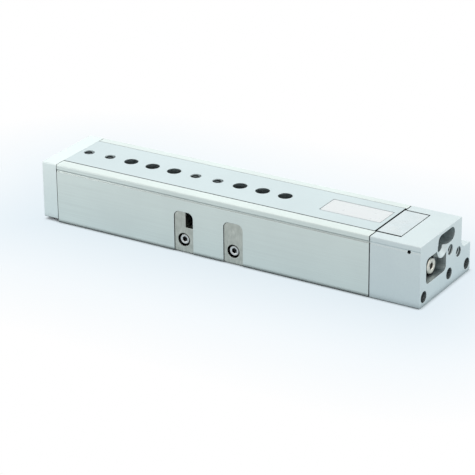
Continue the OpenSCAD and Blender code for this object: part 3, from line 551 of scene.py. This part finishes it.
def hexSocket(mesh, radius, acrossFlats, depth):
    # starts a part with a hex socket in its end face at height 0; gives back its outer loop
    corner = acrossFlats / 2 / math.cos(math.pi / 6)
    lead = socketShape["lead"] * acrossFlats
    bmesh.ops.create_circle(mesh, segments=6, radius=corner)
    bmesh.ops.subdivide_edges(mesh, edges=mesh.edges[:], cuts=rimSteps // 6 - 1)
    hexVerts, hexEdges = mesh.verts[:], mesh.edges[:]
    down, floor = growLoop(mesh, hexEdges)
    bmesh.ops.translate(mesh, vec=(0, 0, depth), verts=down)
    closeLoop(mesh, floor, depth + socketShape["cone"] * lead)
    flare, outer = growLoop(mesh, hexEdges)
    for vert in flare:
        flat = Vector((vert.co.x, vert.co.y, 0))
        vert.co = flat.normalized() * (corner + lead * socketShape["flare"])
    for vert in hexVerts:
        vert.co.z = lead * socketShape["flare"]
    return nextLoop(mesh, outer, radius, 0)


def joinPart(mesh, part):
    # adds a finished part's faces to a mesh
    data = bpy.data.meshes.new("part")
    part.to_mesh(data)
    part.free()
    mesh.from_mesh(data)
    bpy.data.meshes.remove(data)


# mm that the ridge sinks into its shank, share of the pitch left free at its ends, and
# heights along the profile as shares of the pitch
ridgeShape = {"sink": 0.04, "free": 0.8, "foot": 0.06, "crest": (0.42, 0.54),
              "heel": 0.9, "close": 0.96}


def threadRidge(mesh, root, crest, pitch, start, length, steps=20):
    # one closed helical ridge round the z axis, wound from a flat strip; a nut thread has
    # its crest inside its root
    turns = max(1, int((length - ridgeShape["free"] * pitch) / pitch))
    sunk = root + math.copysign(ridgeShape["sink"] * millimetre, root - crest)
    low, high = ridgeShape["crest"]
    profile = [(sunk, 0), (root, ridgeShape["foot"] * pitch), (crest, low * pitch),
               (crest, high * pitch), (root, ridgeShape["heel"] * pitch),
               (sunk, ridgeShape["close"] * pitch)]
    strip = bmesh.new()
    bmesh.ops.create_grid(strip, x_segments=steps * turns, y_segments=len(profile), size=1)
    for vert in strip.verts:
        angle = (vert.co.x + 1) / 2 * turns * fullTurn
        radius, rise = profile[round((vert.co.y + 1) / 2 * len(profile)) % len(profile)]
        vert.co = (radius * math.cos(angle), radius * math.sin(angle),
                   start + rise + angle / fullTurn * pitch)
    bmesh.ops.remove_doubles(strip, verts=strip.verts, dist=1e-7)
    bmesh.ops.holes_fill(strip, edges=[e for e in strip.edges if e.is_boundary])
    joinPart(mesh, strip)


def placeOn(mesh, origin, direction):
    # moves a part made along +z to its origin and turns it along the direction
    turned = Vector((0, 0, 1)).rotation_difference(direction).to_matrix().to_4x4()
    bmesh.ops.transform(mesh, matrix=Matrix.Translation(origin) @ turned,
                        verts=mesh.verts)


def axisOf(box, headFirst):
    # origin at the head's outer face, direction to the tip, length, and radius of one screw
    low, high = box
    size = high - low
    along = max(range(3), key=lambda i: size[i])
    centre = (low + high) / 2
    origin, direction = centre.copy(), Vector((0, 0, 0))
    origin[along] = low[along] if headFirst else high[along]
    direction[along] = 1 if headFirst else -1
    across = [size[i] for i in range(3) if i != along]
    return origin, direction, size[along], max(across) / 2


# sizes in millimetres; headFirst tells whether the head is at the low end of its axis
socketScrews = {
    "threeCapScrews": {"node": "cap_screws", "body": "housing_unit", "headFirst": False,
                       "thread": 3, "pitch": 0.5, "head": 3, "key": 2.5, "threaded": 9},
    "blockScrews": {"node": "stop_block_screws", "body": "housing_unit", "headFirst": True,
                    "thread": 3, "pitch": 0.5, "head": 3, "key": 2.5, "threaded": 9},
    "yokeScrews": {"node": "yoke_screws", "body": "table_unit", "headFirst": True,
                   "thread": 4, "pitch": 0.7, "head": 4, "key": 3, "threaded": 9},
    "rodScrew": {"node": "rod_screw", "body": "table_unit", "headFirst": True,
                 "thread": 4, "pitch": 0.7, "head": 4, "key": 3, "threaded": 8},
    "armScrews": {"node": "arm_screws", "body": "table_unit", "headFirst": False,
                  "thread": 3, "pitch": 0.5, "head": 3, "key": 2.5, "threaded": 12},
}


headShape = {
    "chamfer": 0.18, "chamferDepth": 0.8,  # share of the head's radius, share of the chamfer
    "socketDepth": 0.5,                    # share of the head's height
    "knurl": 0.1, "knurlLead": 0.05, "plain": 0.3, "underCut": 0.15,  # mm
}


def makeSocketScrews(name, screw):
    # knurled heads with a chamfered face and a hex socket, rolled threads on the shanks
    whole = bmesh.new()
    headH, shankR = screw["head"] * millimetre, screw["thread"] / 2 * millimetre
    pitch, threaded = screw["pitch"] * millimetre, screw["threaded"] * millimetre
    rootR = shankR - threadDepth * pitch
    tip = tipChamfer * millimetre
    knurl, lead = headShape["knurl"] * millimetre, headShape["knurlLead"] * millimetre
    plain, underCut = headShape["plain"] * millimetre, headShape["underCut"] * millimetre
    for box in solidBoxes(screw["node"]):
        origin, direction, length, headR = axisOf(box, screw["headFirst"])
        chamfer = headShape["chamfer"] * headR
        chamferEnd = headShape["chamferDepth"] * chamfer
        threadFrom = length - threaded
        mesh = bmesh.new()
        loop = hexSocket(mesh, headR - chamfer, screw["key"] * millimetre,
                         headShape["socketDepth"] * headH)
        turnPart(mesh, loop, [
            (headR, chamferEnd), (headR, chamferEnd + lead, knurl),
            (headR, headH - plain - lead, knurl), (headR, headH - plain),
            (headR - underCut, headH), (shankR, headH), (shankR, threadFrom - pitch),
            (rootR, threadFrom), (rootR, length - tip), (rootR - tip, length)], length)
        threadRidge(mesh, rootR, shankR, pitch, threadFrom - pitch, threaded - tip + pitch)
        placeOn(mesh, origin, direction)
        joinPart(whole, mesh)
    finishPiece(name, whole, screwSteel, screw["body"], [screw["node"]])


for screwName, screwValues in socketScrews.items():
    makeSocketScrews(screwName, screwValues)
print("socket head screws made")

stopScrews = {
    "frontStop": {"node": "front_stop_screw", "body": "front_adjuster", "headFirst": True,
                  "finish": screwSteel, "slot": "screw_steel"},
    "rearStop": {"node": "rear_stop_screw", "body": "rear_adjuster", "headFirst": False,
                 "finish": brightSteel, "slot": "bright_screw"},
    "pitch": 1.0, "key": 3, "keyDepth": 3, "land": 2.2, "nose": 1.5, "chamfer": 0.45,  # mm
    "runIn": 0.4, "overlap": 0.3,  # shares of the pitch, where the thread meets the land
    "steps": 28,                   # round one turn of thread
}


def makeStopScrew(name, screw):
    # fine threaded stop screw: plain turned land round the hex socket, hardened nose at the tip
    origin, direction, length, radius = axisOf(solidBoxes(screw["node"])[0], screw["headFirst"])
    pitch, chamfer, land, nose = (
        stopScrews[key] * millimetre for key in ("pitch", "chamfer", "land", "nose"))
    rootR, tip = radius - threadDepth * pitch, tipChamfer * millimetre
    noseR, overlap = rootR - chamfer, stopScrews["overlap"] * pitch
    mesh = bmesh.new()
    loop = hexSocket(mesh, radius - chamfer, stopScrews["key"] * millimetre,
                     stopScrews["keyDepth"] * millimetre)
    turnPart(mesh, loop, [
        (radius, chamfer), (radius, land), (rootR, land + stopScrews["runIn"] * pitch),
        (rootR, length - nose), (noseR, length - nose + chamfer), (noseR, length - tip),
        (noseR - tip, length)], length)
    threadRidge(mesh, rootR, radius, pitch, land - overlap, length - land - nose + overlap,
                stopScrews["steps"])
    placeOn(mesh, origin, direction)
    finishPiece(name, mesh, screw["finish"], screw["body"], [screw["node"]])


makeStopScrew("frontStopScrew", stopScrews["frontStop"])
makeStopScrew("rearStopScrew", stopScrews["rearStop"])
print("stop screws made")

lockScrews = {"pitch": 0.5, "key": 1.5, "keyDepth": 1.2, "face": 0.1, "chamfer": 0.15}  # mm


def makeLockScrews():
    # headless set screws: thread from end to end, hex socket in the outer end
    whole = bmesh.new()
    pitch, face = lockScrews["pitch"] * millimetre, lockScrews["face"] * millimetre
    tip = tipChamfer * millimetre
    for box in solidBoxes("stop_lock_screws"):
        origin, direction, length, radius = axisOf(box, True)
        rootR = radius - threadDepth * pitch
        mesh = bmesh.new()
        loop = hexSocket(mesh, rootR - face, lockScrews["key"] * millimetre,
                         lockScrews["keyDepth"] * millimetre)
        turnPart(mesh, loop, [
            (rootR, lockScrews["chamfer"] * millimetre), (rootR, length - tip),
            (rootR - tip, length)], length)
        threadRidge(mesh, rootR, radius, pitch, face, length - tip - face)
        placeOn(mesh, origin, direction)
        joinPart(whole, mesh)
    finishPiece("lockScrews", whole, screwSteel, "table_unit",
                ["stop_lock_screws"])


makeLockScrews()
print("locking screws made")

holeThreads = {
    "pitch": 0.8, "crest": 2.07,  # M5 coarse: pitch and minor radius
    "mouth": 0.45,                # left free at each end
    "sets": [
        {"name": "tableThreads", "mounts": ["table_threads_front", "table_threads_middle"],
         "depth": 9, "body": "table_unit", "finish": groundTable, "slot": "ground_table"},
        {"name": "yokeThreads", "mounts": ["yoke_threads_low", "yoke_threads_high"],
         "depth": 5.4, "body": "table_unit", "finish": anodisedPlate, "slot": "anodised_yoke"},
        {"name": "baseThreads", "mounts": ["base_threads_outer", "base_threads_inner"],
         "depth": 8, "body": "housing_unit", "finish": anodisedExtrusion,
         "slot": "anodised_housing"},
        {"name": "portThreads", "mounts": ["air_port_front", "air_port_rear"],
         "depth": 6, "body": "housing_unit", "finish": blastedAluminium,
         "slot": "anodised_cap"},
    ],
}


def holePlaces(mount):
    # mouths of a mount's holes
    centre, axis = Vector(mount["pos_m"]), Vector(mount["axis"])
    sizes = mount["dims"]
    if "spacing_x_mm" not in sizes:
        return [centre + axis * sizes["length_mm"] / 2 * millimetre]
    across = [i for i in range(3) if abs(axis[i]) < 0.5]
    places = []
    rows = (-0.5, 0.5) if "spacing_y_mm" in sizes else (0,)
    for first in (-0.5, 0.5):
        for second in rows:
            place = centre.copy()
            place[across[0]] += first * sizes["spacing_x_mm"] * millimetre
            place[across[1]] += second * sizes.get("spacing_y_mm", 0) * millimetre
            places.append(place)
    return places


def makeHoleThreads(values):
    # inner thread ridges in the tapped holes
    whole = bmesh.new()
    crest, pitch = holeThreads["crest"] * millimetre, holeThreads["pitch"] * millimetre
    mouth = holeThreads["mouth"] * millimetre
    for mountName in values["mounts"]:
        mount = mounts[mountName]
        holeR = mount["dims"].get("hole_r_mm", mount["dims"].get("r_mm")) * millimetre
        for place in holePlaces(mount):
            mesh = bmesh.new()
            threadRidge(mesh, holeR, crest, pitch, mouth,
                        values["depth"] * millimetre - 2 * mouth)
            placeOn(mesh, place, -Vector(mount["axis"]))
            joinPart(whole, mesh)
    finishPiece(values["name"], whole, values["finish"], values["body"])


for threadSet in holeThreads["sets"]:
    makeHoleThreads(threadSet)
print("tapped hole threads made")

blankLabel = {"corner": 0.9, "cornerSteps": 5}


def makeLabel():
    # thin film with round corners, left blank
    low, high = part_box("label")
    mesh = bmesh.new()
    bmesh.ops.create_grid(mesh, x_segments=1, y_segments=1, size=0.5)
    bmesh.ops.scale(mesh, vec=(high.x - low.x, high.y - low.y, 1), verts=mesh.verts)
    bmesh.ops.bevel(mesh, geom=mesh.verts[:], offset=blankLabel["corner"] * millimetre,
                    segments=blankLabel["cornerSteps"], profile=0.5, affect="VERTICES", material=-1)
    bmesh.ops.translate(mesh, verts=mesh.verts, vec=((low.x + high.x) / 2,
                                                     (low.y + high.y) / 2, low.z))
    grown = bmesh.ops.extrude_face_region(mesh, geom=mesh.faces[:] + mesh.edges[:])["geom"]
    bmesh.ops.translate(mesh, vec=(0, 0, high.z - low.z),
                        verts=[g for g in grown if isinstance(g, bmesh.types.BMVert)])
    finishPiece("labelFilm", mesh, labelFilm, "table_unit", ["label"])


makeLabel()

buffers = {"frontBuffer": {"node": "front_buffer", "headFirst": True},
           "rearBuffer": {"node": "rear_buffer", "headFirst": False},
           "chamfer": 0.5, "dimple": 0.35,         # mm
           "dimpleFloor": 0.35, "dimpleRim": 0.55}  # shares of the radius


def makeBuffer(name, values):
    # moulded rubber plug with a chamfered nose and a dimple
    origin, direction, length, radius = axisOf(solidBoxes(values["node"])[0],
                                               values["headFirst"])
    chamfer, dimple = buffers["chamfer"] * millimetre, buffers["dimple"] * millimetre
    mesh = bmesh.new()
    bmesh.ops.create_circle(mesh, segments=rimSteps, radius=radius * buffers["dimpleFloor"])
    start = mesh.edges[:]
    bmesh.ops.translate(mesh, vec=(0, 0, dimple), verts=mesh.verts)
    turnPart(mesh, start, [
        (radius * buffers["dimpleRim"], 0), (radius - chamfer, 0), (radius, chamfer),
        (radius, length)], length)
    closeLoop(mesh, start, dimple)
    placeOn(mesh, origin, direction)
    finishPiece(name, mesh, sealRubber, "housing_unit", [values["node"]])


makeBuffer("frontBuffer", buffers["frontBuffer"])
makeBuffer("rearBuffer", buffers["rearBuffer"])
print("label and buffers made")
